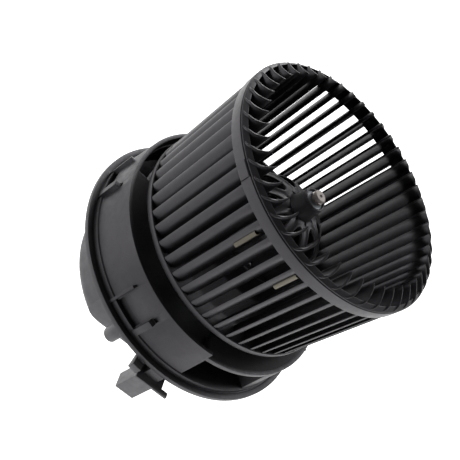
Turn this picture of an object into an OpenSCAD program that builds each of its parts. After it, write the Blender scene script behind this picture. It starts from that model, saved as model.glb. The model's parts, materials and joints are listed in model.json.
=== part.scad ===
// Cabin heater blower: squirrel-cage wheel on a DC motor in a twist-lock base.
// The origin is the centre of the flange's upper seating face, +Z runs along the
// fan axis towards the wheel's open end. All lengths are in millimetres.

/* [Wheel] */
// Number of blades
blade_count = 48; // [36:1:54]
// Outer radius of the front ring at its front edge
wheel_front_r = 75; // [70:0.5:80]
// Outer radius of the back ring
wheel_back_r = 70.6; // [66:0.1:72]
// Height of the wheel's back face
wheel_back_z = 36; // [34:0.5:40]
// Height of the front ring's outer edge
wheel_front_z = 118; // [110:0.5:124]
// Height of the front ring's band
front_band_h = 8.2; // [6:0.1:12]
// Thickness of a blade
blade_t = 1.3; // [1.2:0.1:1.8]
// Length of a balance clip
clip_len = 16; // [10:0.5:20]

/* [Hub] */
// Number of openings around the hub dome
hub_openings = 9; // [6:1:10]
// Radius of the hub dome at its foot
dome_r = 34.5; // [34:0.1:36]
// Height of the hub dome above its foot
dome_h = 32.8; // [31:0.1:34]
// Wall of the hub dome
dome_wall = 2.4; // [1.6:0.1:2.6]
// Radius of the boss that grips the shaft
boss_r = 7.7; // [6.5:0.1:9]
// Height of the boss's free end
boss_top_z = 97.5; // [94:0.5:100]

/* [Motor] */
// Radius of the shaft
shaft_r = 4; // [3:0.5:4.5]
// Height of the shaft's free end
shaft_top_z = 101.5; // [100:0.5:104]
// Radius of the motor can
can_r = 30; // [29:0.5:30]
// Height of the motor can's upper wall
can_top_z = 52; // [48:1:53]
// Wall of the motor can
can_wall = 2; // [1.5:0.1:2.5]
// Number of armature slots and commutator bars
slot_count = 12; // [8:1:16]
// Radial clearance of the shaft in its bearings
bearing_gap = 0.03; // [0.02:0.01:0.08]

/* [Base] */
// Radius of the flange
flange_r = 83.8; // [82:0.1:88]
// Thickness of the flange
flange_t = 3; // [2.5:0.1:4]
// Radius of the locating lip on the flange
lip_r = 79.3; // [79:0.1:81]
// Radius of the collar at its rim
rim_r = 77.5; // [77:0.1:79]
// Height of the collar's rim
rim_z = 30; // [28:0.5:32]
// Height of the lowered rim over the cooling duct
low_rim_z = 26; // [25:0.5:28]
// Height of the deck around the motor
deck_z = 22; // [18:0.5:23]
// Wall of the base moulding
base_wall = 2.4; // [2:0.1:3]
// Radius of the rear cover
cover_r = 66; // [60:0.5:68]
// Depth of the rear cover below the flange
cover_depth = 37; // [33:0.5:40]

/* [Hidden] */
$fn = 96;
eps = 0.01;

plastic = "#26272a";
dark_plastic = "#1b1c1f";
steel = "#b9bcc0";
copper = "#b4703c";

ring_block_angles = [241.5, 248.5];

// Wheel: every radius grows in a straight line from the back face to the front.
taper = (wheel_front_r / wheel_back_r - 1) / (wheel_front_z - wheel_back_z);
function grow(z) = 1 + taper * (z - wheel_back_z);
back_ring_h = 5;
blade_foot_z = wheel_back_z + back_ring_h;
band_foot_z = wheel_front_z - front_band_h;
annulus_z = wheel_front_z + 2;
// Mean line of a blade at the back face: [radius, angle, height of its front edge].
blade_line = [[69.8, -2.0, 118.4], [69.2, -0.4, 119.4], [68, 0.9, 120.8], [65.9, 2.3, 121.9],
              [63.4, 3.3, 123.3], [61, 3.7, 124.7], [59.2, 3.3, 125.6]];

// Hub dome and back plate.
dome_z = 55;
dome_top_z = dome_z + dome_h;
opening_in_r = 14;
opening_out_r = 28.5;
first_opening = 190;

// Balance clips: [angle, height of the lower end].
clips = [[268, 88], [291, 92]];
clip_w = 3.2;
clip_sheet = 0.7;

// Motor.
can_foot_z = -16;
bush_r = 7.5;
bush_h = 7;
magnet_t = 4;
magnet_span = 130;
core_r = can_r - can_wall - magnet_t - 1.2;
core_z = [4, 42];
end_turn_h = 6;
comm_r = 11;
comm_z = [-14, -4];
card_z = -14;
brush_z = -9;
brush_w = 6;
brush_len = 9;
holder_gap = 0.15;
holder_wall = 1;
holder_out_r = 26.5;
shaft_foot_z = -28;
sleeve_r = 32;
ear_r = 38;
motor_screw_angles = [30, 150, 270];

// Base.
duct_angles = [303.5, 338.5];
duct_in_r = 62;
low_rim_end = 373;
bayonet_starts = [14, 74, 134, 197.6, 261.3];
bayonet_span = 17.5;
gap_angles = [152, 202];
lip_z = 3;

// Rear cover: its side under the connector is cut flat.
cover_top_z = -flange_t;
cover_wall = 2.5;
cover_curve = 8;
cover_flat_x = 50;
cover_flat_z = -9;
cover_screw_angles = [45, 135, 225, 340];
cover_screw_r = 70.5;
peg_angle = 273.5;
peg_r = 4.5;
peg_x = 76;
ear_tab_r = 4.2;
ear_tab_h = 4;
peg_low = -18;

// Connector: x is measured along the radius, y along the flange's edge.
connector_angle = 297;
connector_r = 82;
connector_z = -32.5;
connector_y = [-8.5, 4.5];
connector_x = [-6, 3.5];
connector_wall = 1.5;
pin_gap = 5;
pin_y = (connector_y[0] + connector_y[1]) / 2;
lead_r = 1.1;
lead_start_r = 24;
lead_z = -22;

// A ring sector: the part of a turned shape between two angles.
module sector(angles, r, z) {
    rotate([0, 0, angles[0]])
        translate([0, 0, z[0]])
            rotate_extrude(angle = angles[1] - angles[0])
                translate([r[0], 0])
                    square([r[1] - r[0], z[1] - z[0]]);
}

module tube(r_out, r_in, z) {
    translate([0, 0, z[0]])
        difference() {
            cylinder(r = r_out, h = z[1] - z[0]);
            translate([0, 0, -1]) cylinder(r = r_in, h = z[1] - z[0] + 2);
        }
}

// A box given by its lowest and highest corners.
module span(low, high) {
    translate(low) cube(high - low);
}

// ---- Wheel ----

module front_ring() {
    color(plastic)
        rotate_extrude()
            polygon([[wheel_front_r * grow(band_foot_z) / grow(wheel_front_z), band_foot_z],
                     [wheel_front_r, wheel_front_z - 0.6],
                     [wheel_front_r - 0.5, wheel_front_z],
                     [wheel_front_r - 2.7, annulus_z],
                     [wheel_front_r - 3.3, annulus_z - 0.7],
                     [wheel_front_r - 2.4, wheel_front_z - 2],
                     [wheel_front_r * grow(band_foot_z) / grow(wheel_front_z) - 2, band_foot_z]]);
    // Raised block on the band, one blade pitch wide.
    color(plastic)
        sector(ring_block_angles, [wheel_front_r - 1.7, wheel_front_r + 0.4],
               [band_foot_z + 0.3, wheel_front_z - 1.1]);
}

function polar(r, a) = [r * cos(a), r * sin(a)];
function unit(v) = v / norm(v);
function line_point(i) = polar(blade_line[i][0], blade_line[i][1]);
function line_normal(i) =
    let (last = len(blade_line) - 1,
         d = unit(line_point(min(i + 1, last)) - line_point(max(i - 1, 0))))
    [-d[1], d[0]];
// The blade thins out towards both ends of its mean line.
function half_thickness(i) = blade_t * (0.32 + 0.2 * sin(180 * i / (len(blade_line) - 1)));
function blade_side(i, side, z) =
    let (p = grow(z) * (line_point(i) + side * half_thickness(i) * line_normal(i)))
    [p[0], p[1], z];

module blade() {
    n = len(blade_line);
    foot_z = blade_foot_z - 2;
    points = concat([for (i = [0:n - 1]) blade_side(i, 1, foot_z)],
                    [for (i = [0:n - 1]) blade_side(i, -1, foot_z)],
                    [for (i = [0:n - 1]) blade_side(i, 1, blade_line[i][2])],
                    [for (i = [0:n - 1]) blade_side(i, -1, blade_line[i][2])]);
    faces = concat([for (i = [0:n - 2]) [i, i + 1, n + i + 1, n + i]],
                   [for (i = [0:n - 2]) [2 * n + i, 3 * n + i, 3 * n + i + 1, 2 * n + i + 1]],
                   [for (i = [0:n - 2]) [i, 2 * n + i, 2 * n + i + 1, i + 1]],
                   [for (i = [0:n - 2]) [n + i, n + i + 1, 3 * n + i + 1, 3 * n + i]],
                   [[0, n, 3 * n, 2 * n], [n - 1, 3 * n - 1, 4 * n - 1, 2 * n - 1]]);
    polyhedron(points, faces);
}

module fan_blades() {
    color(plastic)
        for (i = [0:blade_count - 1])
            rotate([0, 0, (i + 0.5) * 360 / blade_count])
                blade();
}

module back_plate() {
    color(plastic)
        rotate_extrude()
            polygon([[wheel_back_r - 13, wheel_back_z + 1],
                     [wheel_back_r - 1.2, wheel_back_z],
                     [wheel_back_r, wheel_back_z + 1],
                     [wheel_back_r + 0.2, blade_foot_z],
                     [wheel_back_r - 1.6, blade_foot_z],
                     [wheel_back_r - 2.2, wheel_back_z + 3],
                     [wheel_back_r - 13, wheel_back_z + 4],
                     [dome_r + 7, dome_z - 9],
                     [dome_r + 2, dome_z - 4],
                     [dome_r, dome_z],
                     [dome_r - dome_wall, dome_z],
                     [dome_r - dome_wall + 2, dome_z - 5],
                     [dome_r + 5, dome_z - 12]]);
}

function dome_point(r, h, a) = [r * cos(a), dome_z + h * sin(a)];

module hub_opening() {
    mid = (opening_in_r + opening_out_r) / 2;
    translate([0, 0, dome_z + 8])
        linear_extrude(height = dome_h)
            polygon([for (i = [0:23])
                        let (a = i * 15,
                             r = mid + (opening_out_r - opening_in_r) / 2 * cos(a))
                        polar(r, (13.5 + 1.5 * cos(a)) * sin(a))]);
}

module wheel_hub() {
    foot = [for (a = [0:5:85]) dome_point(dome_r, dome_h, a)];
    inner = [for (a = [85:-5:0]) dome_point(dome_r - dome_wall, dome_h - dome_wall, a)];
    color(plastic)
        difference() {
            union() {
                rotate_extrude()
                    polygon(concat(foot, [[shaft_r, dome_top_z], [shaft_r, dome_top_z - dome_wall]],
                                   inner));
                // Boss with a stepped end that takes the retainer.
                rotate_extrude()
                    polygon([[shaft_r, dome_z + 15], [boss_r - 1, dome_z + 15],
                             [boss_r + 1.6, dome_top_z - 3], [boss_r + 0.4, dome_top_z + 1],
                             [boss_r, dome_top_z + 3], [boss_r, boss_top_z - 0.4],
                             [boss_r - 0.4, boss_top_z], [boss_r - 1.5, boss_top_z],
                             [boss_r - 1.5, boss_top_z - 1.6], [shaft_r, boss_top_z - 1.6]]);
            }
            for (i = [0:hub_openings - 1])
                rotate([0, 0, first_opening + i * 360 / hub_openings])
                    hub_opening();
        }
}

// A spring-steel clip folded over a blade.
module balance_clip(angle, foot) {
    r = wheel_back_r * grow(foot + clip_len / 2);
    rotate([0, 0, angle])
        translate([r - 8, -clip_w / 2, foot])
            difference() {
                cube([7.2, clip_w, clip_len]);
                translate([-1, clip_sheet, -1])
                    cube([8.2 - clip_sheet, clip_w - 2 * clip_sheet, clip_len + 2]);
            }
}

module balance_clips() {
    color("#d9d2bd")
        for (clip = clips) balance_clip(clip[0], clip[1]);
}

module hub_retainer() {
    color(steel)
        tube(boss_r - 1.9, shaft_r, [boss_top_z - 1.6, boss_top_z - 0.9]);
}

// ---- Rotor ----

module shaft() {
    color(steel)
        rotate_extrude()
            polygon([[0, shaft_foot_z], [shaft_r - 0.6, shaft_foot_z], [shaft_r, shaft_foot_z + 0.6],
                     [shaft_r, shaft_top_z - 0.6], [shaft_r - 0.6, shaft_top_z], [0, shaft_top_z]]);
}

module armature_core() {
    color("#6d7075")
        difference() {
            tube(core_r, shaft_r, core_z);
            for (i = [0:slot_count - 1])
                rotate([0, 0, i * 360 / slot_count]) {
                    span([core_r - 2, -1, core_z[0] - 1], [core_r + 1, 1, core_z[1] + 1]);
                    span([12, -2.4, core_z[0] - 1], [core_r - 1.5, 2.4, core_z[1] + 1]);
                }
        }
}

module armature_windings() {
    color(copper) {
        for (z = [[core_z[0] - end_turn_h, core_z[0]], [core_z[1], core_z[1] + end_turn_h]])
            tube(core_r - 2, 9, z);
        for (i = [0:slot_count - 1])
            rotate([0, 0, i * 360 / slot_count])
                span([12.4, -2, core_z[0] - eps], [core_r - 2, 2, core_z[1] + eps]);
    }
}

module commutator_bars() {
    color(copper)
        difference() {
            tube(comm_r, comm_r - 3, comm_z);
            for (i = [0:slot_count - 1])
                rotate([0, 0, (i + 0.5) * 360 / slot_count])
                    span([comm_r - 4, -0.35, comm_z[0] - 1], [comm_r + 1, 0.35, comm_z[1] + 1]);
        }
}

module commutator_hub() {
    color("#5a3a22")
        tube(comm_r - 3, shaft_r, comm_z);
}

module thrust_washers() {
    color("#e6e0d0") {
        tube(6.5, shaft_r, [can_top_z - 1.1, can_top_z - 0.3]);
        tube(6.5, shaft_r, [card_z - 1.2, card_z - 0.4]);
    }
}

// ---- Base ----

module bayonet_ribs(start) {
    // Thin rib, thick rib and the lip between them.
    sector([start, start + 1.1], [rim_r - 1.5, lip_r + 1.4], [-1, 21]);
    sector([start + bayonet_span - 2.7, start + bayonet_span], [rim_r - 1.5, lip_r + 1.9],
           [3.4, 18]);
    sector([start + 0.5, start + bayonet_span - 1], [lip_r - 1.5, lip_r + 0.6], [-0.8, 3.8]);
}

module base_collar() {
    color(plastic) {
        difference() {
            union() {
                rotate_extrude()
                    polygon([[flange_r, -flange_t], [flange_r, -0.5], [flange_r - 0.5, 0],
                             [lip_r, 0], [lip_r, lip_z - 0.4], [lip_r - 0.4, lip_z],
                             [rim_r + 0.8, lip_z], [rim_r, rim_z - 0.5], [rim_r - 0.5, rim_z],
                             [rim_r - base_wall, rim_z], [rim_r - base_wall - 0.3, deck_z],
                             [sleeve_r, deck_z], [sleeve_r, -flange_t],
                             [sleeve_r + base_wall, -flange_t],
                             [sleeve_r + base_wall, deck_z - base_wall],
                             [rim_r - base_wall, deck_z - base_wall],
                             [rim_r - base_wall, -flange_t]]);
                // Shelf under the flange that the rear cover closes against.
                tube(rim_r - base_wall + 0.5, cover_r - 4, [-flange_t, 0]);
                for (start = bayonet_starts) bayonet_ribs(start);
                // Roof of the cooling duct and the raised deck beyond it.
                sector([duct_angles[0] - 1, low_rim_end + 1], [duct_in_r, rim_r - 0.4],
                       [low_rim_z - base_wall, low_rim_z - 0.15]);
                // End walls and floor of the duct.
                for (a = duct_angles)
                    sector([a - 1, a + 1], [duct_in_r + 0.5, rim_r - 0.7],
                           [-1, low_rim_z - 0.5]);
                sector([duct_angles[0] - 0.5, duct_angles[1] + 0.5], [duct_in_r + 1, rim_r + 0.4],
                       [-0.5, lip_z]);
                // Bosses for the motor screws.
                for (a = motor_screw_angles)
                    rotate([0, 0, a])
                        translate([ear_r, 0, can_foot_z])
                            cylinder(r = 4.4, h = deck_z - 1 - can_foot_z);
            }
            // Lowered rim over the duct and the raised deck.
            sector([duct_angles[0], low_rim_end], [rim_r - base_wall - 1, flange_r],
                   [low_rim_z, rim_z + 1]);
            // Window of the duct, and the deck inside it.
            sector([duct_angles[0] + 0.4, duct_angles[1] - 0.4], [duct_in_r + 1.5, lip_r + 1],
                   [lip_z + 0.2, low_rim_z - base_wall - 0.3]);
            // Lug pockets between the bayonet ribs, and the notches at the thick ribs' ends.
            for (start = bayonet_starts) {
                end = start + bayonet_span;
                sector([start + 1.6, end - 3.1], [rim_r - 0.9, lip_r - 0.8], [lip_z + 0.3, 9]);
                sector([end - 2, end - 0.2], [rim_r - 0.9, rim_r + 2], [18.6, 20.8]);
            }
            // Air gap in the deck.
            sector(gap_angles, [cover_r, rim_r - base_wall - 1], [deck_z - 3, deck_z + 1]);
            // Pilot holes of the motor screws and the cover screws.
            for (a = motor_screw_angles)
                rotate([0, 0, a])
                    translate([ear_r, 0, can_foot_z - 1])
                        cylinder(r = 1.6, h = 16);
            for (a = cover_screw_angles)
                rotate([0, 0, a])
                    translate([cover_screw_r, 0, -flange_t - 1])
                        cylinder(r = 1.4, h = flange_t + 2);
        }
    }
}

// The cover's outer form, or its hollow when inset by the wall.
module cover_form(inset) {
    low = cover_top_z - cover_depth;
    bend = cover_curve - inset;
    difference() {
        rotate_extrude()
            polygon(concat([[0, cover_top_z + inset], [cover_r - inset, cover_top_z + inset]],
                           [for (a = [0:15:90])
                               [cover_r - cover_curve + bend * cos(a),
                                low + cover_curve - bend * sin(a)]],
                           [[0, low + inset]]));
        rotate([0, 0, connector_angle])
            span([cover_flat_x - inset, -cover_r, low - 1],
                 [cover_r + 1, cover_r, cover_flat_z + inset]);
    }
}

module rear_cover() {
    color(dark_plastic)
        difference() {
            union() {
                difference() {
                    cover_form(0);
                    cover_form(cover_wall);
                }
                // Screw ears against the flange, the guide peg and a gusset by the connector.
                for (a = cover_screw_angles)
                    rotate([0, 0, a]) {
                        translate([cover_screw_r, 0, cover_top_z - ear_tab_h])
                            cylinder(r = ear_tab_r, h = ear_tab_h);
                        span([cover_r - 2, -ear_tab_r, cover_top_z - ear_tab_h],
                             [cover_screw_r, ear_tab_r, cover_top_z]);
                    }
                rotate([0, 0, peg_angle]) {
                    translate([peg_x, 0, peg_low])
                        cylinder(r = peg_r, h = cover_top_z - 0.2 - peg_low);
                    span([cover_r - 3, -peg_r + 0.5, cover_flat_z + 0.5],
                         [peg_x, peg_r - 0.5, cover_top_z - 0.3]);
                }
                sector([286.3, 289.8], [cover_r - 3, 82.5], [-8.6, cover_top_z]);
                sector([286, 290], [78, 87.5], [-10.2, -5.5]);
            }
            for (a = cover_screw_angles)
                rotate([0, 0, a])
                    translate([cover_screw_r, 0, cover_top_z - 5])
                        cylinder(r = 1.9, h = 6);
        }
}

module motor_can() {
    color(steel)
        rotate_extrude()
            polygon([[can_r - can_wall, can_foot_z], [can_r, can_foot_z],
                     [can_r, can_top_z], [can_r - 2, can_top_z + 2],
                     [bush_r + 2, can_top_z + 2], [bush_r + 2, can_top_z + 2 + bush_h],
                     [shaft_r + 1, can_top_z + 2 + bush_h], [shaft_r + 1, can_top_z + 1 + bush_h],
                     [bush_r, can_top_z + 1 + bush_h], [bush_r, can_top_z],
                     [can_r - can_wall, can_top_z]]);
}

module field_magnets() {
    color("#3a3b3e")
        for (a = [25, 205])
            sector([a, a + magnet_span], [can_r - can_wall - magnet_t, can_r - can_wall], [0, 46]);
}

module front_bearing() {
    color("#a58a55")
        tube(bush_r, shaft_r + bearing_gap, [can_top_z + 0.2, can_top_z + 1 + bush_h]);
}

module rear_bearing() {
    color("#a58a55")
        tube(bush_r, shaft_r + bearing_gap, [can_foot_z - 9, can_foot_z - 2.2]);
}

module rear_end_plate() {
    color(steel)
        difference() {
            union() {
                tube(can_r, bush_r, [can_foot_z - 2, can_foot_z]);
                rotate_extrude()
                    polygon([[bush_r, can_foot_z - 2], [bush_r, can_foot_z - 9],
                             [0, can_foot_z - 9], [0, can_foot_z - 14],
                             [bush_r + 2, can_foot_z - 14], [bush_r + 2, can_foot_z - 2]]);
                for (a = motor_screw_angles)
                    rotate([0, 0, a]) {
                        span([can_r - 2, -4, can_foot_z - 2], [ear_r, 4, can_foot_z]);
                        translate([ear_r, 0, can_foot_z - 2]) cylinder(r = 4, h = 2);
                    }
            }
            translate([0, 0, can_foot_z - 12.5]) cylinder(r = shaft_r + 0.5, h = 8);
            for (a = motor_screw_angles)
                rotate([0, 0, a])
                    translate([ear_r, 0, can_foot_z - 3])
                        cylinder(r = 1.9, h = 4);
        }
}

module brush_card() {
    color("#8b6a3a")
        tube(can_r - can_wall, shaft_r + 3, [can_foot_z, card_z]);
}

module brush_holder() {
    outer = brush_w / 2 + holder_gap + holder_wall;
    inner = brush_w / 2 + holder_gap;
    difference() {
        span([comm_r + 1.5, -outer, card_z],
             [holder_out_r + holder_wall, outer, brush_z + outer]);
        span([comm_r, -inner, brush_z - inner], [holder_out_r, inner, brush_z + inner]);
    }
}

module brush_holders() {
    color("#c9a545")
        for (a = [0, 180])
            rotate([0, 0, a]) brush_holder();
}

module brush() {
    color("#2f2f31")
        span([comm_r + 0.1, -brush_w / 2, brush_z - brush_w / 2],
             [comm_r + 0.1 + brush_len, brush_w / 2, brush_z + brush_w / 2]);
}

module brush_left() {
    rotate([0, 0, 180]) brush();
}

module brush_right() {
    brush();
}

// A compression spring as closed rings on a thin core, end to end with the brush.
module brush_spring() {
    from = comm_r + 0.1 + brush_len;
    length = holder_out_r - from;
    turns = 5;
    wire = 0.35;
    color(steel)
        translate([from, 0, brush_z])
            rotate([0, 90, 0]) {
                for (i = [0:turns])
                    translate([0, 0, wire + i * (length - 2 * wire) / turns])
                        rotate_extrude()
                            translate([2, 0]) circle(r = wire, $fn = 16);
                for (a = [0, 180])
                    rotate([0, 0, a]) translate([2, 0, 0]) cylinder(r = 0.2, h = length, $fn = 16);
            }
}

module brush_spring_left() {
    rotate([0, 0, 180]) brush_spring();
}

module brush_spring_right() {
    brush_spring();
}

module choke_places() {
    for (a = [90, 270])
        rotate([0, 0, a]) translate([20, -7, card_z + 3.5]) rotate([-90, 0, 0]) children();
}

module choke_cores() {
    color("#3b3d40")
        choke_places() cylinder(r = 1.5, h = 14);
}

module choke_coils() {
    color(copper)
        choke_places() tube(3, 1.5, [2, 12]);
}

// Two insulated leads from the brush card through the cover to the terminals.
module motor_leads() {
    color("#7a2420")
        for (side = [-1, 1])
            rotate([0, 0, connector_angle])
                translate([lead_start_r, pin_y + side * pin_gap / 2, lead_z]) {
                    cylinder(r = lead_r, h = can_foot_z - 2 - lead_z);
                    sphere(r = lead_r);
                    rotate([0, 90, 0])
                        cylinder(r = lead_r, h = connector_r - lead_start_r - 8);
                }
}

module rubber_mounts() {
    color("#1d1d1d")
        for (a = [75, 195, 315])
            sector([a, a + 30], [can_r, sleeve_r], [2, 18]);
}

// Neck under the flange, collar plate, open socket and the channel for the leads.
module connector_housing() {
    low = [connector_r + connector_x[0], connector_y[0], connector_z];
    high = [connector_r + connector_x[1], connector_y[1], -10.8];
    wall = [connector_wall, connector_wall, 0];
    color(dark_plastic)
        rotate([0, 0, connector_angle])
            difference() {
                union() {
                    span(low, high);
                    span([connector_r - 5.7, -6, -11], [connector_r + 1, 4, -flange_t]);
                    span([connector_r - 6.3, connector_y[0] - 1.2, -11.6], [connector_r + 6, 13, -10]);
                    span([cover_flat_x - 1, pin_y - 5, -25.8], [connector_r - 5.5, pin_y + 5, -18.2]);
                }
                span(low + wall - [0, 0, 1], high - wall - [0, 0, 3.2]);
                // Step in the collar plate, which leaves a narrow tongue at its outer corner.
                span([connector_r - 7, 8.4, -12], [connector_r + 2.6, 14, -9.6]);
                for (side = [-1, 1])
                    translate([cover_flat_x - 3, pin_y + side * pin_gap / 2, lead_z])
                        rotate([0, 90, 0]) cylinder(r = lead_r + 0.2, h = 27);
            }
}

module terminal_pins() {
    color("#c9a545")
        rotate([0, 0, connector_angle])
            for (side = [-1, 1])
                translate([connector_r - 1.2, pin_y + side * pin_gap / 2, connector_z])
                    span([-0.4, -0.8, 3], [0.4, 0.8, 18.5]);
}

// A pan-head screw whose head's seat is at the origin, pointing up.
module screw(head_r, shank_r, length) {
    translate([0, 0, -2]) cylinder(r1 = head_r - 0.6, r2 = head_r, h = 2);
    cylinder(r = shank_r, h = length);
}

module cover_screws() {
    color(steel)
        for (a = cover_screw_angles)
            rotate([0, 0, a])
                translate([cover_screw_r, 0, cover_top_z - ear_tab_h])
                    screw(3.4, 1.4, 6.5);
}

module motor_screws() {
    color(steel)
        for (a = motor_screw_angles)
            rotate([0, 0, a])
                translate([ear_r, 0, can_foot_z - 2])
                    screw(3.4, 1.6, 14);
}

front_ring();
fan_blades();
back_plate();
wheel_hub();
balance_clips();
hub_retainer();
shaft();
armature_core();
armature_windings();
commutator_bars();
commutator_hub();
thrust_washers();
base_collar();
rear_cover();
motor_can();
field_magnets();
front_bearing();
rear_bearing();
rear_end_plate();
brush_card();
brush_holders();
brush_left();
brush_right();
brush_spring_left();
brush_spring_right();
choke_coils();
choke_cores();
motor_leads();
rubber_mounts();
connector_housing();
terminal_pins();
cover_screws();
motor_screws();
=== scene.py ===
import json
import math

import bmesh
import bpy
from mathutils import Matrix, Vector


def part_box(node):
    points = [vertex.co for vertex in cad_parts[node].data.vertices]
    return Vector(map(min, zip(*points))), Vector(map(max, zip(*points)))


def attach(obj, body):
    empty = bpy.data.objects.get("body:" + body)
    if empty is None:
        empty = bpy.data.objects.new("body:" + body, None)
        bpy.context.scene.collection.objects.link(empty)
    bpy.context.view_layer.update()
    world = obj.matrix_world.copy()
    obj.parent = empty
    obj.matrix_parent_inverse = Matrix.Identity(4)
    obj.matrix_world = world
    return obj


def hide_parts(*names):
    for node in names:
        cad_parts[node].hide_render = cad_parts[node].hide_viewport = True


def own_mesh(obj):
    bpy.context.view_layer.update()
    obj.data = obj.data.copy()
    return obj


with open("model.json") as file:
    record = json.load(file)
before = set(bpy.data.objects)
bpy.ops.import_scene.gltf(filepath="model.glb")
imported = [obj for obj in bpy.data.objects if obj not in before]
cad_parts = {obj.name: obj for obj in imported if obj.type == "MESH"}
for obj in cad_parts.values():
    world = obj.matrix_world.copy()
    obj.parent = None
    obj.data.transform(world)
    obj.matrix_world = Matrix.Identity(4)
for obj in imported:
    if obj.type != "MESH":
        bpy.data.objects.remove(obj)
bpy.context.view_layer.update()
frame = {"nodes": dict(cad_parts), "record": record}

MM = 0.001
TURN = 2 * math.pi


# ---------------------------------------------------------------- dimensions
# Heights and radii come from the CAD nodes' boxes, in millimetres.
def top(node):
    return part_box(node)[1][2] / MM


def foot(node):
    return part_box(node)[0][2] / MM


def radius(node):
    low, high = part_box(node)
    return (high[0] - low[0]) / 2 / MM


FLANGE_R = radius("base_collar")
FLANGE_T = 3.0
LIP_R = FLANGE_R - 4.5
LIP_Z = 3.0
RIM_R = LIP_R - 1.8
RIM_Z = top("base_collar")
LOW_RIM_Z = RIM_Z - 4
DECK_Z = RIM_Z - 8
WALL = 2.4
DUCT = (303.5, 338.5)
DUCT_IN_R = 62.0
LOW_RIM_END = 373.0
SLEEVE_R = 32.0
BAYONET_STARTS = (14, 74, 134, 197.6, 261.3)
BAYONET_SPAN = 17.5
THIN_RIB = 1.1
THICK_RIB = 2.7
GAP_ANGLES = (152, 202)

BACK_Z = foot("back_plate")
BACK_R = radius("back_plate") - 0.2
BLADE_FOOT_Z = BACK_Z + 5
RING_Z = top("front_ring") - 2
RING_R = 75.0
BAND_FOOT_Z = foot("front_ring")
BLADES = 48
TAPER = (RING_R / BACK_R - 1) / (RING_Z - BACK_Z)
BLADE_LINE = ((69.8, -2.0, 118.4), (69.2, -0.4, 119.4), (68.0, 0.9, 120.8), (65.9, 2.3, 121.9),
              (63.4, 3.3, 123.3), (61.0, 3.7, 124.7), (59.2, 3.3, 125.6))
BLADE_T = 1.3
RAISED_BLOCK = (241.5, 248.5)
CLIPS = (("balance_clip_a", 268, 88), ("balance_clip_b", 291, 92))
CLIP_LENGTH = 16
CLIP_SHEET = 0.45

DOME_R = radius("wheel_hub")
DOME_Z = 55.0
DOME_H = 32.8
DOME_WALL = 2.0
OPENINGS = 9
FIRST_OPENING = 190
BOSS_R = 7.7
BOSS_Z = top("wheel_hub")
SHAFT_R = radius("shaft")
SHAFT_Z = top("shaft")

SPRING_WIRE_R = 0.2
SPRING_TURNS = 5.5
SPRING_GAP = 0.05

COVER_R = 66.0
COVER_Z = foot("rear_cover")
COVER_WALL = 2.5
COVER_FLAT_X = 50
COVER_FLAT_Z = -9
EAR_ANGLES = (45, 135, 225, 340)
EAR_R = 70.5
PEG_ANGLE = 273.5
PEG_R = 76
CONNECTOR_ANGLE = 297
CONNECTOR_R = 82.0


def grow(z):
    """How much wider the wheel is at height z than at its back face."""
    return 1 + TAPER * (z - BACK_Z)


def polar(r, degrees, z=0.0):
    a = math.radians(degrees)
    return Vector((r * math.cos(a), r * math.sin(a), z))


# ---------------------------------------------------------------- materials
# The plastics' reflections are faintly violet.
COOL_GLOSS = (0.96, 0.93, 1.0, 1)


def tree(name):
    """A new node material, with its nodes, its links and its shader."""
    mat = bpy.data.materials.new(name)
    mat.use_nodes = True
    nodes = mat.node_tree.nodes
    return mat, nodes, mat.node_tree.links, nodes["Principled BSDF"]


def noise(nodes, links, scale, detail=4.0, stretch=None):
    """A noise texture in object space, with scale in waves per metre."""
    coords = nodes.new("ShaderNodeTexCoord")
    tex = nodes.new("ShaderNodeTexNoise")
    tex.inputs["Scale"].default_value = scale
    tex.inputs["Detail"].default_value = detail
    if stretch:
        mapping = nodes.new("ShaderNodeMapping")
        mapping.inputs["Scale"].default_value = stretch
        links.new(coords.outputs["Object"], mapping.inputs["Vector"])
        links.new(mapping.outputs["Vector"], tex.inputs["Vector"])
    else:
        links.new(coords.outputs["Object"], tex.inputs["Vector"])
    return tex.outputs["Fac"]


def ramp(nodes, links, value, low, high, start=0.35, end=0.65):
    """Blends between two colours as value goes from start to end."""
    node = nodes.new("ShaderNodeValToRGB")
    node.color_ramp.elements[0].position = start
    node.color_ramp.elements[1].position = end
    node.color_ramp.elements[0].color = (*low, 1)
    node.color_ramp.elements[1].color = (*high, 1)
    links.new(value, node.inputs["Fac"])
    return node.outputs["Color"]


def spread(nodes, links, value, low, high):
    """Maps the middle of a noise's range onto low to high."""
    node = nodes.new("ShaderNodeMapRange")
    node.inputs["From Min"].default_value = 0.3
    node.inputs["From Max"].default_value = 0.7
    node.inputs["To Min"].default_value = low
    node.inputs["To Max"].default_value = high
    links.new(value, node.inputs["Value"])
    return node.outputs["Result"]


def bump(nodes, links, shader, height, strength, distance):
    """Gives the shader a grain of this height, in metres."""
    node = nodes.new("ShaderNodeBump")
    node.inputs["Strength"].default_value = strength
    node.inputs["Distance"].default_value = distance
    links.new(height, node.inputs["Height"])
    links.new(node.outputs["Normal"], shader.inputs["Normal"])


def surface(name, low, high, rough, metallic=0.0, grain=(3500, 0.15, 0.00003), patch=120,
            stretch=None, tint=(1, 1, 1, 1)):
    """A material whose colour and roughness drift in patches over a fine grain."""
    mat, nodes, links, shader = tree(name)
    patches = noise(nodes, links, patch, 5.0, stretch)
    links.new(ramp(nodes, links, patches, low, high), shader.inputs["Base Color"])
    links.new(spread(nodes, links, noise(nodes, links, patch * 3, 6.0, stretch), *rough),
              shader.inputs["Roughness"])
    shader.inputs["Metallic"].default_value = metallic
    shader.inputs["Specular Tint"].default_value = tint
    scale, strength, distance = grain
    bump(nodes, links, shader, noise(nodes, links, scale, 3.0, stretch), strength, distance)
    return mat


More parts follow.
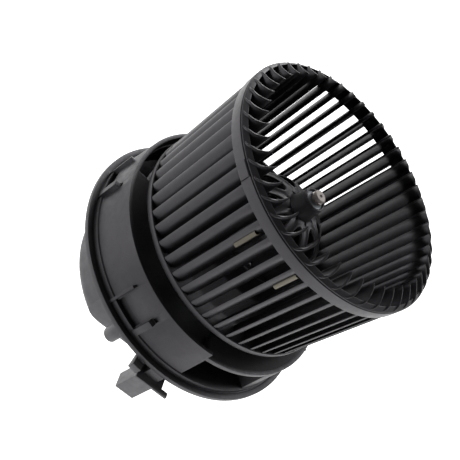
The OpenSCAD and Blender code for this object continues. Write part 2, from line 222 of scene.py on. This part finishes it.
def make_materials():
    """Every material by the name of its slot, and base_plastic for the base moulding."""
    wheel = surface("wheel_plastic", (0.007, 0.0065, 0.0076), (0.0118, 0.011, 0.0124),
                    (0.36, 0.46), grain=(5000, 0.12, 0.00002), tint=COOL_GLOSS)
    base = surface("base_plastic", (0.0095, 0.009, 0.010), (0.0155, 0.0148, 0.016), (0.40, 0.52),
                   grain=(3800, 0.25, 0.00003), tint=COOL_GLOSS)
    return {
        "black_plastic": wheel,
        "base_plastic": base,
        "dark_plastic": surface("cover_plastic", (0.040, 0.039, 0.041), (0.055, 0.054, 0.056),
                                (0.42, 0.55), grain=(3000, 0.3, 0.00004), tint=COOL_GLOSS),
        "clip_steel": surface("clip_steel", (0.09, 0.08, 0.06), (0.16, 0.145, 0.11), (0.45, 0.6),
                              metallic=0.3, stretch=(1, 1, 0.1)),
        "bright_steel": surface("bright_steel", (0.30, 0.27, 0.26), (0.42, 0.39, 0.37),
                                (0.42, 0.55), metallic=0.9, grain=(4000, 0.2, 0.00002),
                                stretch=(1, 1, 0.05)),
        "zinc_steel": surface("zinc_steel", (0.42, 0.43, 0.45), (0.56, 0.57, 0.60), (0.28, 0.5),
                              metallic=1.0, patch=300),
        "core_steel": surface("core_steel", (0.12, 0.13, 0.14), (0.2, 0.21, 0.22), (0.4, 0.6),
                              metallic=0.9, grain=(2000, 0.6, 0.0001), stretch=(0.02, 0.02, 1)),
        "copper": surface("copper", (0.55, 0.22, 0.10), (0.74, 0.36, 0.17), (0.25, 0.42),
                          metallic=1.0, grain=(1600, 0.6, 0.0001), stretch=(1, 1, 0.08)),
        "bronze": surface("bronze", (0.36, 0.24, 0.11), (0.52, 0.37, 0.18), (0.4, 0.6),
                          metallic=1.0, grain=(6000, 0.5, 0.00005)),
        "brass_tin": surface("brass_tin", (0.62, 0.48, 0.22), (0.78, 0.66, 0.38), (0.2, 0.4),
                             metallic=1.0),
        "phenolic": surface("phenolic", (0.16, 0.08, 0.035), (0.26, 0.14, 0.07), (0.45, 0.6)),
        "ferrite": surface("ferrite", (0.04, 0.04, 0.045), (0.07, 0.07, 0.075), (0.55, 0.75)),
        "carbon": surface("carbon", (0.02, 0.02, 0.022), (0.045, 0.045, 0.047), (0.5, 0.7)),
        "natural_nylon": surface("natural_nylon", (0.68, 0.64, 0.54), (0.8, 0.77, 0.68),
                                 (0.4, 0.55)),
        "lead_insulation": surface("lead_insulation", (0.26, 0.03, 0.02), (0.38, 0.05, 0.03),
                                   (0.4, 0.6)),
        "rubber_black": surface("rubber_black", (0.014, 0.014, 0.014), (0.028, 0.028, 0.028),
                                (0.65, 0.85), grain=(2500, 0.5, 0.00006)),
    }


MATERIALS = make_materials()


def dress_cad_nodes():
    """Gives every carried-over CAD node the material of its record slot."""
    slots = {row["node"]: row["material_slot"] for row in frame["record"]["subparts"]}
    for name, obj in frame["nodes"].items():
        obj.data.materials.clear()
        obj.data.materials.append(MATERIALS[slots[name]])


# ---------------------------------------------------------------- mesh tools
def to_object(name, bm, material, smooth_angle=35):
    """Makes an object in metres from a bmesh in millimetres."""
    bmesh.ops.recalc_face_normals(bm, faces=bm.faces)
    bmesh.ops.scale(bm, vec=(MM, MM, MM), verts=bm.verts)
    mesh = bpy.data.meshes.new(name)
    bm.to_mesh(mesh)
    bm.free()
    obj = bpy.data.objects.new(name, mesh)
    bpy.context.collection.objects.link(obj)
    mesh.materials.append(material)
    shade(obj, smooth_angle)
    return obj


def shade(obj, angle):
    """Smooth shading, with edges sharper than the angle kept crisp."""
    mesh = obj.data
    mesh.shade_smooth()
    bm = bmesh.new()
    bm.from_mesh(mesh)
    limit = math.radians(angle)
    for edge in bm.edges:
        edge.smooth = len(edge.link_faces) == 2 and edge.calc_face_angle(0) < limit
    bm.to_mesh(mesh)
    bm.free()


def revolve(bm, profile, segments=256, angles=None):
    """Turns a closed profile of (radius, height) about Z, all round or between two angles."""
    full = angles is None
    start, end = angles or (0, 360)
    steps = segments if full else max(2, round(segments * (end - start) / 360))
    rings = []
    for k in range(steps if full else steps + 1):
        a = start + (end - start) * k / steps
        rings.append([bm.verts.new(polar(r, a, z)) for r, z in profile])
    count = len(profile)
    for k in range(steps):
        here, there = rings[k], rings[(k + 1) % len(rings)]
        for i in range(count):
            j = (i + 1) % count
            bm.faces.new((here[i], there[i], there[j], here[j]))
    if not full:
        bm.faces.new(rings[0])
        bm.faces.new(reversed(rings[-1]))


def rounded(profile, fillet, steps=3):
    """The closed profile with each corner rounded, as far as its edges allow."""
    result = []
    count = len(profile)
    for i, corner in enumerate(profile):
        here = Vector(corner)
        before = Vector(profile[i - 1]) - here
        after = Vector(profile[(i + 1) % count]) - here
        cut = min(fillet, before.length * 0.4, after.length * 0.4)
        if before.angle(after) > math.radians(165):
            result.append(tuple(here))
            continue
        a = here + before.normalized() * cut
        b = here + after.normalized() * cut
        for k in range(steps + 1):
            t = k / steps
            p = a * (1 - t) ** 2 + here * 2 * t * (1 - t) + b * t ** 2
            result.append((p.x, p.y))
    return result


def sector(bm, angles, r, z, step=1.4):
    """A solid ring sector between two radii and two heights."""
    profile = [(r[0], z[0]), (r[1], z[0]), (r[1], z[1]), (r[0], z[1])]
    revolve(bm, profile, round(360 / step), angles)


def box(bm, low, high, angle=0):
    """A box from its lowest and highest corners, turned about Z."""
    made = bmesh.ops.create_cube(bm, size=1)["verts"]
    size = Vector(high) - Vector(low)
    middle = (Vector(high) + Vector(low)) / 2
    move = Matrix.Rotation(math.radians(angle), 4, "Z") @ Matrix.Translation(middle)
    bmesh.ops.transform(bm, matrix=move @ Matrix.Diagonal((*size, 1)), verts=made)


def rod(bm, place, r, z, segments=32):
    """An upright cylinder at place, between two heights."""
    made = bmesh.ops.create_cone(bm, cap_ends=True, segments=segments, radius1=r, radius2=r,
                                 depth=z[1] - z[0])["verts"]
    bmesh.ops.translate(bm, vec=(place[0], place[1], (z[0] + z[1]) / 2), verts=made)


def cutter(build):
    """A helper object whose mesh build() fills, in metres."""
    bm = bmesh.new()
    build(bm)
    bmesh.ops.recalc_face_normals(bm, faces=bm.faces)
    bmesh.ops.scale(bm, vec=(MM, MM, MM), verts=bm.verts)
    mesh = bpy.data.meshes.new("helper")
    bm.to_mesh(mesh)
    bm.free()
    obj = bpy.data.objects.new("helper", mesh)
    bpy.context.collection.objects.link(obj)
    return obj


def combine(obj, operation, build):
    """Adds what build() makes to obj, or cuts it away, and applies the result."""
    helper = cutter(build)
    mod = obj.modifiers.new("combine", "BOOLEAN")
    mod.operation = operation
    mod.solver = "EXACT"
    mod.use_self = True
    mod.object = helper
    apply_modifiers(obj)
    mesh = helper.data
    bpy.data.objects.remove(helper)
    bpy.data.meshes.remove(mesh)


def apply_modifiers(obj):
    """Turns the object's modifiers into its mesh."""
    graph = bpy.context.evaluated_depsgraph_get()
    result = bpy.data.meshes.new_from_object(obj.evaluated_get(graph))
    obj.modifiers.clear()
    obj.data = result


def soften(obj, width, segments=2, angle=32):
    """Rounds the sharp edges by a width in millimetres."""
    mod = obj.modifiers.new("soften", "BEVEL")
    mod.width = width * MM
    mod.segments = segments
    mod.limit_method = "ANGLE"
    mod.angle_limit = math.radians(angle)
    mod.use_clamp_overlap = True
    mod.harden_normals = False
    mod.miter_outer = "MITER_ARC"
    apply_modifiers(obj)
    shade(obj, 40)


# ---------------------------------------------------------------- wheel
def front_ring():
    """The band and the sloping rim of the wheel's open end."""
    low_r = RING_R * grow(BAND_FOOT_Z) / grow(RING_Z)
    bm = bmesh.new()
    outline = [(low_r, BAND_FOOT_Z), (RING_R - 0.12, RING_Z - 1.5), (RING_R - 0.9, RING_Z - 1.0),
               (RING_R - 0.12, RING_Z - 0.5), (RING_R - 0.4, RING_Z),
               (RING_R - 2.7, RING_Z + 2), (RING_R - 3.3, RING_Z + 1.3),
               (RING_R - 2.4, RING_Z - 2), (low_r - 2, BAND_FOOT_Z)]
    revolve(bm, rounded(outline, 0.3), 288)
    revolve(bm, rounded([(RING_R - 1.7, BAND_FOOT_Z + 0.3), (RING_R - 0.2, BAND_FOOT_Z + 0.3),
                         (RING_R + 0.4, BAND_FOOT_Z + 1.2), (RING_R + 0.4, RING_Z - 1.8),
                         (RING_R - 0.3, RING_Z - 1.1), (RING_R - 1.7, RING_Z - 1.1)], 0.3),
            288, RAISED_BLOCK)
    ring = to_object("front_ring_moulding", bm, MATERIALS["black_plastic"])
    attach(ring, "rotor")
    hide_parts("front_ring")


def smooth_line(points, per_span):
    """A Catmull-Rom curve through the points, as vectors."""
    padded = [points[0] * 2 - points[1], *points, points[-1] * 2 - points[-2]]
    result = []
    for i in range(1, len(padded) - 2):
        p0, p1, p2, p3 = padded[i - 1:i + 3]
        for k in range(per_span):
            t = k / per_span
            result.append(0.5 * (2 * p1 + (p2 - p0) * t
                                 + (2 * p0 - 5 * p1 + 4 * p2 - p3) * t ** 2
                                 + (3 * p1 - p0 - 3 * p2 + p3) * t ** 3))
    result.append(points[-1])
    return result


def blade_outline(inset=0.0):
    """One side and then the other of a blade's section at the back face, with its edge height."""
    line = smooth_line([polar(r, a, z) for r, a, z in BLADE_LINE], 4)
    last = len(line) - 1
    sides = [[], []]
    for i, p in enumerate(line):
        along = line[min(i + 1, last)] - line[max(i - 1, 0)]
        across = Vector((-along.y, along.x, 0)).normalized()
        t = i / last
        round_end = math.sqrt(max(0.0, 1 - (abs(2 * t - 1)) ** 14))
        half = BLADE_T * (0.32 + 0.2 * math.sin(math.pi * t)) * (0.35 + 0.65 * round_end)
        half = max(0.06, half - inset)
        for side, sign in ((0, 1), (1, -1)):
            q = p + across * half * sign
            sides[side].append(Vector((q.x, q.y, p.z)))
    return sides


def add_blade(bm, turn, sides, inner_sides, levels):
    """Lofts one blade upwards through the levels, widening with the wheel, to a thinner edge."""
    spin = Matrix.Rotation(math.radians(turn), 3, "Z")
    count = len(sides[0])

    def ring(outline, height):
        loop = outline[0] + outline[1][::-1]
        verts = []
        for p in loop:
            z = height(p.z)
            k = grow(z)
            verts.append(bm.verts.new(spin @ Vector((p.x * k, p.y * k, z))))
        return verts

    rings = [ring(sides, lambda edge, t=t: BLADE_FOOT_Z - 2 + (edge - 0.4 - BLADE_FOOT_Z + 2) * t)
             for t in levels]
    rings.append(ring(inner_sides, lambda edge: edge))
    loop = 2 * count
    for low, high in zip(rings, rings[1:]):
        for i in range(loop):
            j = (i + 1) % loop
            bm.faces.new((low[i], low[j], high[j], high[i]))
    for verts in (rings[0], rings[-1]):
        for i in range(count - 1):
            bm.faces.new((verts[i], verts[i + 1], verts[loop - 2 - i], verts[loop - 1 - i]))


def fan_blades():
    """All the blades, from inside the back ring to the open end."""
    bm = bmesh.new()
    sides = blade_outline()
    inner_sides = blade_outline(0.3)
    levels = [0, 0.25, 0.5, 0.75, 1]
    for i in range(BLADES):
        add_blade(bm, (i + 0.5) * 360 / BLADES, sides, inner_sides, levels)
    blades = to_object("fan_blade_mouldings", bm, MATERIALS["black_plastic"], 50)
    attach(blades, "rotor")
    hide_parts("fan_blades")


def back_plate():
    """The ring at the blades' feet and the cone that rises to the dome."""
    bm = bmesh.new()
    outline = [(BACK_R - 13, BACK_Z + 1), (BACK_R - 1.2, BACK_Z), (BACK_R, BACK_Z + 1),
               (BACK_R + 0.2, BLADE_FOOT_Z), (BACK_R - 1.6, BLADE_FOOT_Z),
               (BACK_R - 2.2, BACK_Z + 3), (BACK_R - 13, BACK_Z + 4), (DOME_R + 7, DOME_Z - 9),
               (DOME_R + 2, DOME_Z - 4), (DOME_R, DOME_Z), (DOME_R - 2.4, DOME_Z),
               (DOME_R - 0.4, DOME_Z - 5), (DOME_R + 5, DOME_Z - 12)]
    revolve(bm, rounded(outline, 0.8), 288)
    plate = to_object("back_plate_moulding", bm, MATERIALS["black_plastic"])
    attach(plate, "rotor")
    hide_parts("back_plate")


def dome_point(height, turn, lift=0.0):
    """A point on the dome: height is degrees above its foot, lift is along the normal."""
    h = math.radians(height)
    r = DOME_R * math.cos(h)
    z = DOME_Z + DOME_H * math.sin(h)
    normal = Vector((math.cos(h) / DOME_R, math.sin(h) / DOME_H)).normalized()
    return polar(r + normal.x * lift, turn, z + normal.y * lift)


def hub():
    """The dome with an opening between every two ribs, and its boss."""
    bm = bmesh.new()
    step = 360 / OPENINGS
    low, high = 0.0, 76.0
    mid_height, half_height = 50.5, 15.5
    around, rings = 40, (0, 0.12, 0.25, 0.45, 0.7, 1)
    lifts = (-0.5, 0.45, 0.75, 0.3, 0.0, 0.0)
    for n in range(OPENINGS):
        middle = FIRST_OPENING + n * step
        grid = []
        for s, lift in zip(rings, lifts):
            loop = []
            for k in range(around):
                a = TURN * k / around
                hole = Vector((11.5 * math.sin(a) * (1 - 0.12 * math.cos(a)),
                               mid_height + half_height * math.cos(a)))
                reach = []
                if abs(math.sin(a)) > 1e-6:
                    reach.append(step / 2 / abs(math.sin(a)))
                if abs(math.cos(a)) > 1e-6:
                    edge = high - mid_height if math.cos(a) > 0 else mid_height - low
                    reach.append(edge / abs(math.cos(a)))
                far = min(reach)
                side = Vector((far * math.sin(a), mid_height + far * math.cos(a)))
                p = hole.lerp(side, s)
                loop.append(bm.verts.new(dome_point(p.y, middle + p.x, lift)))
            grid.append(loop)
        for inner, outer in zip(grid, grid[1:]):
            for k in range(around):
                j = (k + 1) % around
                bm.faces.new((inner[k], inner[j], outer[j], outer[k]))
    bmesh.ops.remove_doubles(bm, verts=bm.verts, dist=0.02)
    dome = to_object("hub_dome_moulding", bm, MATERIALS["black_plastic"], 60)
    thick = dome.modifiers.new("wall", "SOLIDIFY")
    thick.thickness = DOME_WALL * MM
    thick.offset = -1
    smooth = dome.modifiers.new("smooth", "SUBSURF")
    smooth.levels = smooth.render_levels = 1
    apply_modifiers(dome)
    shade(dome, 60)
    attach(dome, "rotor")
    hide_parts("wheel_hub")

    bm = bmesh.new()
    rise = DOME_Z + DOME_H
    outline = [(SHAFT_R, DOME_Z + 15), (BOSS_R - 1, DOME_Z + 15), (BOSS_R + 3.4, rise - 4.4),
               (BOSS_R + 1.2, rise - 1.6), (BOSS_R + 0.3, rise + 1.5), (BOSS_R, rise + 4),
               (BOSS_R, BOSS_Z - 1.6), (BOSS_R - 0.35, BOSS_Z - 1.4), (BOSS_R - 0.35, BOSS_Z),
               (BOSS_R - 1.5, BOSS_Z), (BOSS_R - 1.5, BOSS_Z - 1.6), (SHAFT_R, BOSS_Z - 1.6)]
    revolve(bm, rounded(outline, 0.35), 96)
    boss = to_object("hub_boss_moulding", bm, MATERIALS["black_plastic"])
    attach(boss, "rotor")
    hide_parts("wheel_hub")


def shaft():
    """The ground shaft with a chamfered free end and its retaining ring."""
    bm = bmesh.new()
    low = foot("shaft")
    outline = [(0.01, low), (SHAFT_R - 0.6, low), (SHAFT_R, low + 0.6), (SHAFT_R, SHAFT_Z - 2.4),
               (SHAFT_R - 0.35, SHAFT_Z - 2.2), (SHAFT_R - 0.35, SHAFT_Z - 1.5),
               (SHAFT_R, SHAFT_Z - 1.3), (SHAFT_R, SHAFT_Z - 0.6), (SHAFT_R - 0.6, SHAFT_Z),
               (1.1, SHAFT_Z), (0.5, SHAFT_Z - 0.8), (0.01, SHAFT_Z - 0.9)]
    revolve(bm, outline, 72)
    bmesh.ops.remove_doubles(bm, verts=bm.verts, dist=0.03)
    rod_piece = to_object("shaft_ground", bm, MATERIALS["bright_steel"], 25)
    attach(rod_piece, "rotor")
    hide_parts("shaft")

    bm = bmesh.new()
    z = BOSS_Z - 1.6
    revolve(bm, rounded([(SHAFT_R + 0.02, z), (BOSS_R - 1.6, z), (BOSS_R - 1.6, z + 0.45),
                         (SHAFT_R + 0.9, z + 0.7), (SHAFT_R + 0.02, z + 1.5)], 0.15), 72)
    ring = to_object("hub_push_ring", bm, MATERIALS["core_steel"])
    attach(ring, "rotor")
    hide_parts("hub_retainer")


def balance_clips():
    """Two folded spring clips, each gripping a blade between its outer edge and its middle."""
    for name, angle, low in CLIPS:
        high = low + CLIP_LENGTH
        bm = bmesh.new()
        for z in (low, low + 0.5, high - 0.5, high):
            r = BACK_R * grow(z)
            trim = 0.25 if z in (low, high) else 0
            path = [(r - 7.7, -1.3 + trim), (r - 5.5, -1.1), (r - 3, -1.3), (r - 1.4, -1.2),
                    (r - 1.1, 0), (r - 1.4, 1.2), (r - 3, 1.3), (r - 5.5, 1.1),
                    (r - 7.7, 1.3 - trim)]
            for x, y in path:
                bm.verts.new((x, y, z))
        bm.verts.ensure_lookup_table()
        for row in range(3):
            for i in range(8):
                a = row * 9 + i
                bm.faces.new([bm.verts[k] for k in (a, a + 1, a + 10, a + 9)])
        bmesh.ops.rotate(bm, verts=bm.verts, matrix=Matrix.Rotation(math.radians(angle), 3, "Z"))
        clip = to_object(name, bm, MATERIALS["clip_steel"], 60)
        thick = clip.modifiers.new("sheet", "SOLIDIFY")
        thick.thickness = CLIP_SHEET * MM
        thick.offset = 0
        smooth = clip.modifiers.new("smooth", "SUBSURF")
        smooth.levels = smooth.render_levels = 2
        apply_modifiers(clip)
        shade(clip, 50)
        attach(clip, "rotor")
        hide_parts("balance_clips")


# ---------------------------------------------------------------- brush gear
def spring_rise(turns, length):
    """How far along the spring its wire is after some turns, with the end turns lying close."""
    close = 2.2 * SPRING_WIRE_R
    if turns < 1:
        return close * turns
    if turns > SPRING_TURNS - 1:
        return length - close * (SPRING_TURNS - turns)
    return close + (length - 2 * close) * (turns - 1) / (SPRING_TURNS - 2)


def spring_coil(bm, near, far, coil_r, height):
    """A coil of round wire along X, between two distances from the shaft."""
    steps, sides = 24, 8
    length = far - near - 2 * SPRING_WIRE_R
    rings = []
    for k in range(round(SPRING_TURNS * steps) + 1):
        a = TURN * k / steps
        out = Vector((0, math.cos(a), math.sin(a)))
        x = near + SPRING_WIRE_R + spring_rise(k / steps, length)
        centre = Vector((x, 0, height)) + out * coil_r
        ring = []
        for m in range(sides):
            b = TURN * m / sides
            edge = out * math.cos(b) + Vector((math.sin(b), 0, 0))
            ring.append(bm.verts.new(centre + edge * SPRING_WIRE_R))
        rings.append(ring)
    for here, there in zip(rings, rings[1:]):
        for m in range(sides):
            n = (m + 1) % sides
            bm.faces.new((here[m], there[m], there[n], here[n]))
    bm.faces.new(rings[0])
    bm.faces.new(reversed(rings[-1]))


def brush_springs():
    """The coil behind each brush, between the brush's back and the wall behind it."""
    for side, sign in (("left", -1), ("right", 1)):
        node, slide = "brush_spring_" + side, "brush_slide_" + side
        low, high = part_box(node)
        brush_back, wall = sorted(abs(corner[0]) / MM for corner in (low, high))
        height = (low[2] + high[2]) / 2 / MM
        coil_r = (high[2] - low[2]) / 2 / MM - 2 * SPRING_WIRE_R
        bm = bmesh.new()
        spring_coil(bm, brush_back + SPRING_GAP, wall - SPRING_GAP, coil_r, height)
        bmesh.ops.rotate(bm, verts=bm.verts,
                         matrix=Matrix.Rotation(0 if sign > 0 else math.pi, 3, "Z"))
        coil = to_object("brush_coil_" + side, bm, MATERIALS["bright_steel"], 60)
        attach(coil, "base")
        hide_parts(node)
        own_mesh(coil)


# ---------------------------------------------------------------- base
def base_collar():
    """The base moulding, turned as one profile, with its features added and cut."""
    bm = bmesh.new()
    outline = [(FLANGE_R, -FLANGE_T), (FLANGE_R, 0), (LIP_R + 1.2, 0), (LIP_R + 0.9, -0.35),
               (LIP_R + 0.2, -0.35), (LIP_R, 0), (LIP_R, LIP_Z), (RIM_R + 1.5, LIP_Z),
               (RIM_R + 0.9, LIP_Z + 0.5), (RIM_R, RIM_Z), (RIM_R - WALL, RIM_Z),
               (RIM_R - WALL - 0.3, DECK_Z), (SLEEVE_R, DECK_Z), (SLEEVE_R, -FLANGE_T),
               (SLEEVE_R + WALL, -FLANGE_T), (SLEEVE_R + WALL, DECK_Z - WALL),
               (RIM_R - WALL, DECK_Z - WALL), (RIM_R - WALL, 0), (COVER_R - 4, 0),
               (COVER_R - 4, -FLANGE_T)]
    revolve(bm, outline, 256)
    base = to_object("base_moulding", bm, MATERIALS["base_plastic"])

    def duct(bm):
        sector(bm, (DUCT[0] - 1, LOW_RIM_END + 1), (DUCT_IN_R, RIM_R - 0.4),
               (LOW_RIM_Z - WALL, LOW_RIM_Z - 0.15))

    def duct_walls(bm):
        for a in DUCT:
            sector(bm, (a - 1, a + 1), (DUCT_IN_R + 0.5, RIM_R - 0.7), (-1, LOW_RIM_Z - 0.5), 0.7)

    def duct_floor(bm):
        sector(bm, (DUCT[0] - 0.5, DUCT[1] + 0.5), (DUCT_IN_R + 1, RIM_R + 0.4), (-0.5, LIP_Z))

    def ribs(bm):
        for start in BAYONET_STARTS:
            end = start + BAYONET_SPAN
            sector(bm, (start, start + THIN_RIB), (RIM_R - 1.5, LIP_R + 1.4), (-1, 21), 0.5)
            sector(bm, (end - THICK_RIB, end), (RIM_R - 1.5, LIP_R + 1.9), (3.4, 18), 0.8)

    def lips(bm):
        for start in BAYONET_STARTS:
            sector(bm, (start + 0.5, start + BAYONET_SPAN - 1), (LIP_R - 1.5, LIP_R + 0.6),
                   (-0.8, 3.8))

    def low_rim(bm):
        sector(bm, (DUCT[0], LOW_RIM_END), (RIM_R - WALL - 1, FLANGE_R), (LOW_RIM_Z, RIM_Z + 1))

    def window(bm):
        sector(bm, (DUCT[0] + 0.4, DUCT[1] - 0.4), (DUCT_IN_R + 1.5, LIP_R + 1),
               (LIP_Z + 0.2, LOW_RIM_Z - WALL - 0.3))

    def pockets(bm):
        for start in BAYONET_STARTS:
            end = start + BAYONET_SPAN
            sector(bm, (start + 1.6, end - 3.1), (RIM_R - 0.9, LIP_R - 0.8), (LIP_Z + 0.3, 9))
            sector(bm, (end - 2, end - 0.2), (RIM_R - 0.9, RIM_R + 2), (18.6, 20.8), 0.6)

    def gap(bm):
        sector(bm, GAP_ANGLES, (COVER_R, RIM_R - WALL - 1), (DECK_Z - 3, DECK_Z + 1))

    for operation, build in (("UNION", duct), ("UNION", duct_walls), ("UNION", duct_floor),
                             ("UNION", ribs), ("UNION", lips), ("DIFFERENCE", low_rim),
                             ("DIFFERENCE", window), ("DIFFERENCE", pockets), ("DIFFERENCE", gap)):
        combine(base, operation, build)
    soften(base, 0.35)
    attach(base, "base")
    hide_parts("base_collar")


def cover_form(bm, inset):
    """The cover's outer form, or its hollow when inset by the wall."""
    curve, bend = 8, 8 - inset
    high = -FLANGE_T + inset
    outline = [(0.01, high), (COVER_R - inset, high)]
    outline += [(COVER_R - curve + bend * math.cos(math.radians(a)),
                 COVER_Z + curve - bend * math.sin(math.radians(a))) for a in range(0, 91, 6)]
    outline.append((0.01, COVER_Z + inset))
    revolve(bm, outline, 256)
    bmesh.ops.remove_doubles(bm, verts=bm.verts, dist=0.03)


def cover_flat(inset):
    """A block that cuts the cover flat on its connector side."""
    return lambda bm: box(bm, (COVER_FLAT_X - inset, -COVER_R, COVER_Z - 1),
                          (COVER_R + 1, COVER_R, COVER_FLAT_Z + inset), CONNECTOR_ANGLE)


def rear_cover():
    """The hollow cup under the motor, with its screw ears, guide peg and gusset."""
    high = -FLANGE_T
    shapes = []
    for inset in (0, COVER_WALL):
        bm = bmesh.new()
        cover_form(bm, inset)
        shapes.append(to_object("rear_cover_moulding", bm, MATERIALS["dark_plastic"]))
        combine(shapes[-1], "DIFFERENCE", cover_flat(inset))
    cover, hollow = shapes
    cut = cover.modifiers.new("hollow", "BOOLEAN")
    cut.operation = "DIFFERENCE"
    cut.solver = "EXACT"
    cut.object = hollow
    apply_modifiers(cover)
    bpy.data.objects.remove(hollow)

    def ears(bm):
        for a in EAR_ANGLES:
            rod(bm, polar(EAR_R, a), 4.2, (high - 4, high))
            box(bm, (COVER_R - 2, -4.2, high - 3.95), (EAR_R, 4.2, high - 0.05), a)

    def peg(bm):
        rod(bm, polar(PEG_R, PEG_ANGLE), 4.5, (-18, -3.2))
        box(bm, (COVER_R - 3, -4, -8.5), (PEG_R, 4, -3.3), PEG_ANGLE)

    def gusset(bm):
        sector(bm, (286.3, 289.8), (COVER_R - 3, 82.5), (-8.6, high), 0.7)

    def gusset_foot(bm):
        sector(bm, (286, 290), (78, 87.5), (-10.2, -5.5), 0.7)

    for build in (ears, peg, gusset, gusset_foot):
        combine(cover, "UNION", build)
    soften(cover, 0.5)
    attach(cover, "base")
    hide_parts("rear_cover")


def connector():
    """The plug housing under the flange, with its neck, collar plate and lead channel."""
    r = CONNECTOR_R
    low = foot("connector_housing")
    turn = CONNECTOR_ANGLE
    blocks = (((r - 5.7, -6, -11), (r + 1, 4, -FLANGE_T)),
              ((r - 6.3, -9.7, -11.6), (r + 6, 13, -10)),
              ((COVER_FLAT_X - 1, -7, -25.8), (r - 5.5, 3, -18.2)))
    bm = bmesh.new()
    box(bm, (r - 6, -8.5, low), (r + 3.5, 4.5, -10.8), turn)
    shell = to_object("connector_moulding", bm, MATERIALS["dark_plastic"])
    for corner_a, corner_b in blocks:
        combine(shell, "UNION", lambda bm: box(bm, corner_a, corner_b, turn))
    combine(shell, "DIFFERENCE", lambda bm: box(bm, (r - 7, 8.4, -12), (r + 2.6, 14, -9.6), turn))
    combine(shell, "DIFFERENCE", lambda bm: box(bm, (r - 4.5, -7, low - 1), (r + 2, 3, -14), turn))
    soften(shell, 0.4)
    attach(shell, "base")
    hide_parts("connector_housing")


# ---------------------------------------------------------------- stage
FLOOR_SIZE = 80
FLOOR_Z = -0.30


def stage():
    """A pale floor, a studio world that is darker on one side, and the lamps."""
    bpy.ops.mesh.primitive_plane_add(size=FLOOR_SIZE, location=(0, 0, FLOOR_Z))
    floor = bpy.context.object
    floor.name = "floor"
    mat, _, _, shader = tree("floor_paper")
    shader.inputs["Base Color"].default_value = (0.95, 0.95, 0.95, 1)
    shader.inputs["Roughness"].default_value = 0.9
    shader.inputs["Emission Color"].default_value = (1, 1, 1, 1)
    shader.inputs["Emission Strength"].default_value = 0.98
    floor.data.materials.append(mat)

    world = bpy.data.worlds.new("studio")
    bpy.context.scene.world = world
    world.use_nodes = True
    nodes, links = world.node_tree.nodes, world.node_tree.links
    background = nodes["Background"]
    background.inputs["Color"].default_value = (1, 1, 1, 1)
    coords = nodes.new("ShaderNodeTexCoord")
    towards = nodes.new("ShaderNodeVectorMath")
    towards.operation = "DOT_PRODUCT"
    towards.inputs[1].default_value = DARK_SIDE
    links.new(coords.outputs["Generated"], towards.inputs[0])
    fade = nodes.new("ShaderNodeMapRange")
    fade.interpolation_type = "SMOOTHSTEP"
    fade.inputs["From Min"].default_value = 0.1
    fade.inputs["From Max"].default_value = 0.95
    fade.inputs["To Min"].default_value = 0.42
    fade.inputs["To Max"].default_value = 0.07
    links.new(towards.outputs["Value"], fade.inputs["Value"])
    links.new(fade.outputs["Result"], background.inputs["Strength"])
    area_light("key", (-1.1, -0.45, 0.02), (0, 0, 0.05), 0.7, 1.0)
    area_light("left", (-0.8, -0.8, 0.0), (0, 0, 0.02), 0.5, 1.8)
    area_light("low", (0.8, -0.35, -0.1), (0, 0, 0.05), 0.6, 2.5)
    area_light("rim", (-0.5, 0.85, 0.5), (0, 0, 0.1), 0.6, 7)
    area_light("back", (0.5, 0.8, 0.9), (0, 0, 0.1), 0.6, 4)


def area_light(name, place, aim, size, power):
    """A square lamp at place that faces aim, in metres and watts."""
    data = bpy.data.lights.new(name, "AREA")
    data.size = size
    data.energy = power
    light = bpy.data.objects.new(name, data)
    bpy.context.collection.objects.link(light)
    light.location = place
    light.rotation_euler = (Vector(aim) - Vector(place)).to_track_quat("-Z", "Y").to_euler()


# Camera: level heading along +Y, looking down, and rolled about its own axis.
CAMERA_PLACE = Vector((-0.0103, -0.4289, 0.3671))
CAMERA_DOWN = math.radians(37.74)
CAMERA_ROLL = math.radians(58.45)
CAMERA_LENS = 71.4
# A fixed direction in the room, in which the studio is darkest.
DARK_SIDE = (0, -math.cos(CAMERA_DOWN), math.sin(CAMERA_DOWN))


def camera():
    data = bpy.data.cameras.new("camera")
    data.lens = CAMERA_LENS
    data.sensor_width = 36
    data.clip_start = 0.01
    obj = bpy.data.objects.new("camera", data)
    bpy.context.collection.objects.link(obj)
    tilt = Matrix.Rotation(math.pi / 2 - CAMERA_DOWN, 4, "X")
    roll = Matrix.Rotation(CAMERA_ROLL, 4, "Z")
    obj.matrix_world = Matrix.Translation(CAMERA_PLACE) @ tilt @ roll
    bpy.context.scene.camera = obj


camera()
stage()
bpy.context.scene.view_settings.view_transform = "Standard"
dress_cad_nodes()
front_ring()
fan_blades()
back_plate()
hub()
shaft()
balance_clips()
brush_springs()
base_collar()
rear_cover()
connector()
